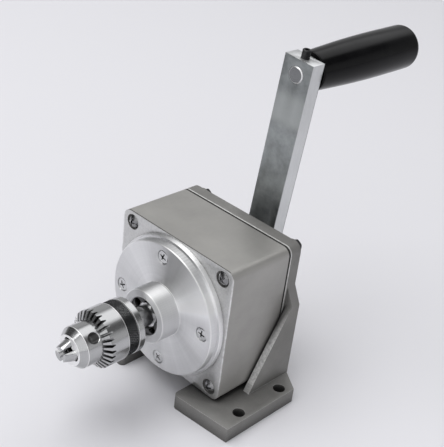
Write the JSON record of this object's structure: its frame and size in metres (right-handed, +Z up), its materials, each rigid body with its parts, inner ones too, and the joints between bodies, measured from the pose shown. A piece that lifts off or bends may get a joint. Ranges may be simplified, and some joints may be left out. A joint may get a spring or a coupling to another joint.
{
  "type": "hand cranked bench tapping machine",
  "caption": "Bench machine with a square gear housing on a footed bracket, a side crank with a grip behind it and a three-jaw key chuck in front, for turning taps by hand",
  "frame": {"origin": "centre of the four bench holes, on the feet's underside", "axes": "+Z up from the bench, +Y back from the chuck towards the grip, +X to the right seen from the chuck"},
  "size_m": [0.1252, 0.2444, 0.1963],
  "materials": {
    "cast_grey": "cast and blasted, matt",
    "turned_aluminium": "fine turned",
    "gasket_black": "matt",
    "zinc_screw": "bright zinc",
    "dark_screw": "oiled steel",
    "turned_steel": "turned",
    "bearing_steel": "ground and polished",
    "cage_brass": "pressed cage",
    "gear_steel": "hobbed, oiled",
    "chuck_bright": "ground, bright",
    "bush_bronze": "bored bronze",
    "zinc_plated_bar": "zinc plated flat bar",
    "black_screw": "black oxide",
    "grip_black": "moulded, glossy"
  },
  "bodies": {
    "base": {"base_bracket": "cast_grey", "gear_housing": "cast_grey", "housing_gasket": "gasket_black", "front_flange": "turned_aluminium", "flange_screw_1": "zinc_screw", "flange_screw_2": "zinc_screw", "flange_screw_3": "zinc_screw", "flange_screw_4": "zinc_screw", "corner_bolt_1": "dark_screw", "corner_bolt_2": "dark_screw", "corner_bolt_3": "dark_screw", "corner_bolt_4": "dark_screw", "corner_nut_1": "dark_screw", "corner_nut_2": "dark_screw", "corner_nut_3": "dark_screw", "corner_nut_4": "dark_screw", "bearing_retainer": "turned_steel", "front_bearing_outer": "bearing_steel", "front_bearing_balls": "cage_brass", "rear_bearing_outer": "bearing_steel", "rear_bearing_balls": "cage_brass", "lay_bush_front": "bush_bronze", "lay_bush_rear": "bush_bronze", "crank_bush_front": "bush_bronze", "crank_bush_rear": "bush_bronze"},
    "crank": {"crank_shaft": "turned_steel", "crank_gear": "gear_steel", "crank_key": "gear_steel", "crank_circlip": "gear_steel", "crank_washer": "turned_steel", "crank_arm": "zinc_plated_bar", "crank_set_screw": "black_screw", "handle_set_screw": "black_screw", "handle_stud": "turned_steel", "handle_washer": "turned_steel", "handle_nut": "dark_screw"},
    "grip": {"handle_grip": "grip_black", "grip_plug": "grip_black"},
    "layshaft": {"lay_shaft": "turned_steel", "lay_gear_front": "gear_steel", "lay_gear_rear": "gear_steel", "lay_spacer": "turned_steel", "lay_key": "gear_steel"},
    "spindle_body": {"spindle": "turned_steel", "spindle_gear": "gear_steel", "spindle_key": "gear_steel", "spindle_circlip": "gear_steel", "front_bearing_inner": "bearing_steel", "rear_bearing_inner": "bearing_steel", "bearing_spacer": "turned_steel", "chuck_body": "chuck_bright"},
    "sleeve": {"chuck_sleeve": "chuck_bright", "chuck_split_nut": "turned_steel"},
    "jaw_a": {"chuck_jaw_1": "chuck_bright"},
    "jaw_b": {"chuck_jaw_2": "chuck_bright"},
    "jaw_c": {"chuck_jaw_3": "chuck_bright"}
  },
  "joints": [
    {"name": "crank_turn", "type": "hinge", "parent": "base", "child": "crank", "pos_m": [0, 0.03, 0.0532], "axis": [0, 1, 0], "continuous": true},
    {"name": "grip_spin", "type": "hinge", "parent": "crank", "child": "grip", "pos_m": [0.01128, 0.08, 0.18211], "axis": [0, 1, 0], "continuous": true},
    {"name": "layshaft_turn", "type": "hinge", "parent": "base", "child": "layshaft", "pos_m": [0, 0, 0.03535], "axis": [0, 1, 0], "continuous": true},
    {"name": "spindle_turn", "type": "hinge", "parent": "base", "child": "spindle_body", "pos_m": [0, -0.04, 0.0532], "axis": [0, 1, 0], "continuous": true},
    {"name": "sleeve_turn", "type": "hinge", "parent": "spindle_body", "child": "sleeve", "pos_m": [0, -0.07, 0.0532], "axis": [0, 1, 0], "range_deg": [-520, 1400]},
    {"name": "jaw_a_slide", "type": "slide", "parent": "spindle_body", "child": "jaw_a", "axis": [-0.0707, 0.9703, 0.2314], "range_m": [-0.00261, 0.00701]},
    {"name": "jaw_b_slide", "type": "slide", "parent": "spindle_body", "child": "jaw_b", "axis": [0.2357, 0.9703, -0.0544], "range_m": [-0.00261, 0.00701]},
    {"name": "jaw_c_slide", "type": "slide", "parent": "spindle_body", "child": "jaw_c", "axis": [-0.165, 0.9703, -0.1769], "range_m": [-0.00261, 0.00701]}
  ],
  "couplings": [
    {"joint": "layshaft_turn", "follows": "crank_turn", "ratio": -0.75},
    {"joint": "spindle_turn", "follows": "crank_turn", "ratio": 0.5625},
    {"joint": "jaw_a_slide", "follows": "sleeve_turn", "m_per_rad": 0.00028648},
    {"joint": "jaw_b_slide", "follows": "sleeve_turn", "m_per_rad": 0.00028648},
    {"joint": "jaw_c_slide", "follows": "sleeve_turn", "m_per_rad": 0.00028648}
  ]
}
